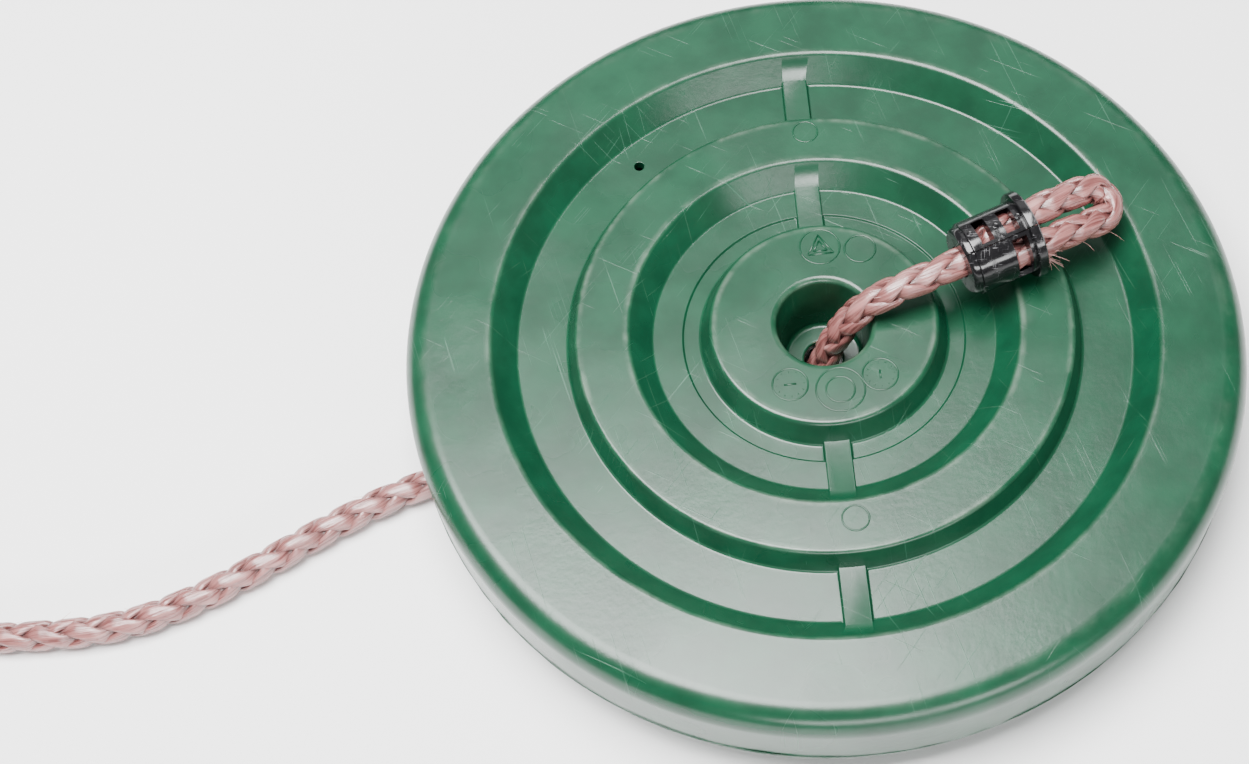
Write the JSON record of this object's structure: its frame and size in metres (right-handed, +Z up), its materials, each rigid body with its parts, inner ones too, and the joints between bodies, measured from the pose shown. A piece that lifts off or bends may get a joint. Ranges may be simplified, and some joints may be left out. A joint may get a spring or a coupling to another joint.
{
  "type": "disc swing",
  "caption": "Round hollow plastic disc swing on a rope, held under the seat by a two-piece clamp, with a hanging ring in the far end's eye.",
  "frame": {"origin": "on the floor, under the middle of the seat's outline", "axes": "+Z up, -X towards the rim that lies on the rope, +Y away from the side that the rope's coil is entered from"},
  "size_m": [0.5976, 0.3068, 0.0702],
  "materials": {
    "green_polyethylene": "satin, fine orange peel",
    "black_polypropylene": "glossy moulded",
    "rose_rope": "plaited shiny multifilament",
    "zinc_plated_steel": "zinc plated"
  },
  "bodies": {
    "rope": {"rope_stop_end": "rose_rope", "rope_main": "rose_rope", "rope_coil": "rose_rope", "rope_eye_end": "rose_rope", "coil_tie_1": "black_polypropylene", "coil_tie_2": "black_polypropylene", "stop_clamp_window_half": "black_polypropylene", "stop_clamp_plain_half": "black_polypropylene", "eye_clamp_window_half": "black_polypropylene", "eye_clamp_plain_half": "black_polypropylene"},
    "seat": {"seat_disc": "green_polyethylene"},
    "ring": {"hanging_ring": "zinc_plated_steel"}
  },
  "joints": [
    {"name": "seat_spin", "type": "hinge", "parent": "rope", "child": "seat", "pos_m": [-0.00032, 0, 0.01888], "axis": [0.0421, 0, 0.9991], "continuous": true},
    {"name": "ring_swing", "type": "hinge", "parent": "rope", "child": "ring", "pos_m": [-0.4293, 0.1155, 0.0157], "axis": [1, 0, 0], "range_deg": [0, 150]}
  ]
}
